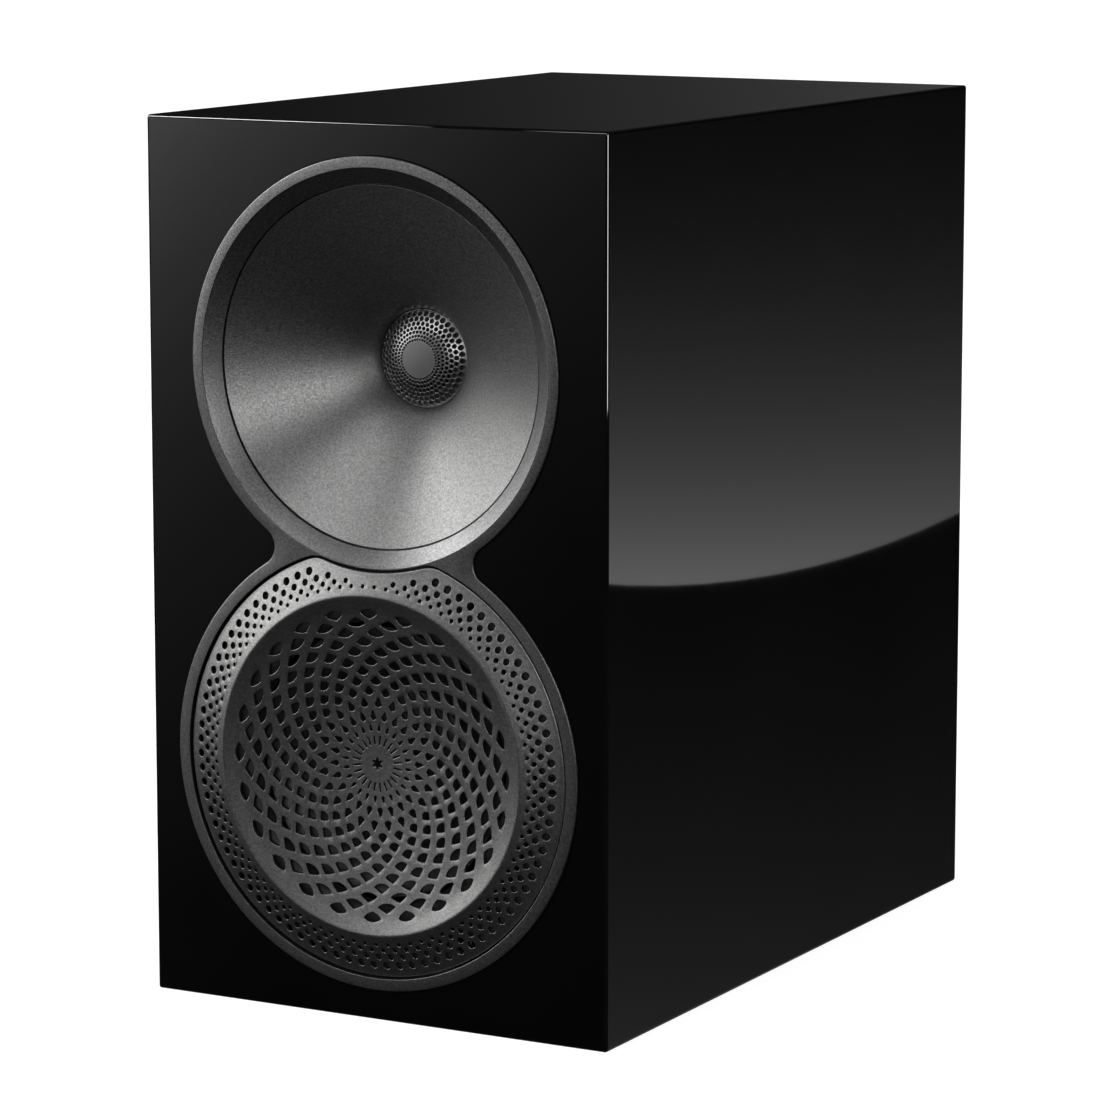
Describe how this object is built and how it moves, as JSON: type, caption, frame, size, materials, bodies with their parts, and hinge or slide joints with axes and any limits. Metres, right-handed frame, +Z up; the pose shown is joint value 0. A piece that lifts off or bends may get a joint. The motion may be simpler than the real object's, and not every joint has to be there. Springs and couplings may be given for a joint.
{
  "type": "bookshelf loudspeaker",
  "caption": "Two-way stand-mount loudspeaker: black gloss box, metallic trim, horn-loaded tweeter, woofer behind a spiral-pierced phase plate, rear port and binding posts.",
  "frame": {"origin": "under the middle of the bounding box, on the underside of the cabinet", "axes": "+X to the viewer's right, the drivers face -Y, +Z up"},
  "size_m": [0.2, 0.3268, 0.343],
  "materials": {
    "gloss_black_lacquer": "gloss lacquer over board",
    "raw_board": "raw fibreboard",
    "foam": "open-cell foam",
    "trim_grey": "satin metallic grey",
    "waveguide_grey": "satin metallic grey",
    "plate_grey": "satin metallic grey",
    "lens_grey": "satin metallic grey",
    "screw_steel": "black zinc",
    "tweeter_dome_metal": "satin",
    "surround_rubber": "matte",
    "former_film": "satin film",
    "copper_winding": "enamelled copper wire",
    "motor_steel": "zinc plated",
    "ferrite": "matte sintered",
    "black_plastic": "fine grain",
    "cast_frame": "satin black",
    "cone_grey": "coated satin",
    "spider_cloth": "resin-set cloth",
    "plated_brass": "gold plated",
    "red_plastic": "satin",
    "circuit_board": "solder resist",
    "capacitor_film": "dipped film",
    "resistor_ceramic": "matte",
    "wire_black": "insulation"
  },
  "bodies": {
    "cabinet": {"front_baffle": "gloss_black_lacquer", "left_side_panel": "gloss_black_lacquer", "right_side_panel": "gloss_black_lacquer", "top_panel": "gloss_black_lacquer", "bottom_panel": "gloss_black_lacquer", "rear_panel": "gloss_black_lacquer", "window_brace": "raw_board", "acoustic_foam": "foam", "trim_plate": "trim_grey", "waveguide": "waveguide_grey", "waveguide_screws": "screw_steel", "woofer_phase_plate": "plate_grey", "woofer_screws": "screw_steel", "tweeter_lens": "lens_grey", "tweeter_surround": "surround_rubber", "tweeter_top_plate": "motor_steel", "tweeter_magnet": "ferrite", "tweeter_yoke": "motor_steel", "tweeter_rear_chamber": "black_plastic", "tweeter_screws": "screw_steel", "woofer_basket": "cast_frame", "woofer_gasket": "surround_rubber", "woofer_surround": "surround_rubber", "woofer_spider": "spider_cloth", "woofer_top_plate": "motor_steel", "woofer_magnet": "ferrite", "woofer_yoke": "motor_steel", "port_tube": "black_plastic", "terminal_cup": "black_plastic", "terminal_screws": "screw_steel", "red_post_stem": "plated_brass", "red_post_base": "black_plastic", "black_post_stem": "plated_brass", "black_post_base": "black_plastic", "post_nuts_and_tabs": "plated_brass", "crossover_board": "circuit_board", "board_spacers": "black_plastic", "board_screws": "screw_steel", "inductor_bobbins": "black_plastic", "inductor_coils": "copper_winding", "capacitors": "capacitor_film", "resistors": "resistor_ceramic", "driver_terminals": "black_plastic", "input_wires": "wire_black", "woofer_wires": "wire_black", "tweeter_wires": "wire_black"},
    "tweeter_diaphragm": {"tweeter_dome": "tweeter_dome_metal", "tweeter_former": "former_film", "tweeter_coil": "copper_winding"},
    "woofer_diaphragm": {"woofer_cone": "cone_grey", "woofer_dust_cap": "cone_grey", "woofer_former": "former_film", "woofer_coil": "copper_winding"},
    "red_washer": {"red_clamp_washer": "plated_brass"},
    "red_knob": {"red_knob_insert": "plated_brass", "red_post_knob": "red_plastic"},
    "black_washer": {"black_clamp_washer": "plated_brass"},
    "black_knob": {"black_knob_insert": "plated_brass", "black_post_knob": "black_plastic"}
  },
  "joints": [
    {"name": "woofer_excursion", "type": "slide", "parent": "cabinet", "child": "woofer_diaphragm", "axis": [0, -1, 0], "range_m": [-0.004, 0.004], "stiffness_N_per_m": 1200, "deforming": ["woofer_surround", "woofer_spider"]},
    {"name": "tweeter_excursion", "type": "slide", "parent": "cabinet", "child": "tweeter_diaphragm", "axis": [0, -1, 0], "range_m": [-0.0003, 0.0003], "stiffness_N_per_m": 1500, "deforming": ["tweeter_surround"]},
    {"name": "red_knob_turn", "type": "hinge", "parent": "red_washer", "child": "red_knob", "pos_m": [-0.0095, 0.1534, 0.092], "axis": [0, 1, 0], "range_deg": [0, 1224]},
    {"name": "red_washer_slide", "type": "slide", "parent": "cabinet", "child": "red_washer", "axis": [0, 1, 0], "range_m": [0, 0.0034]},
    {"name": "black_knob_turn", "type": "hinge", "parent": "black_washer", "child": "black_knob", "pos_m": [0.0095, 0.1534, 0.092], "axis": [0, 1, 0], "range_deg": [0, 1224]},
    {"name": "black_washer_slide", "type": "slide", "parent": "cabinet", "child": "black_washer", "axis": [0, 1, 0], "range_m": [0, 0.0034]}
  ],
  "couplings": [
    {"joint": "red_knob_turn", "follows": "red_washer_slide", "rad_per_m": 6283.2},
    {"joint": "black_knob_turn", "follows": "black_washer_slide", "rad_per_m": 6283.2}
  ]
}
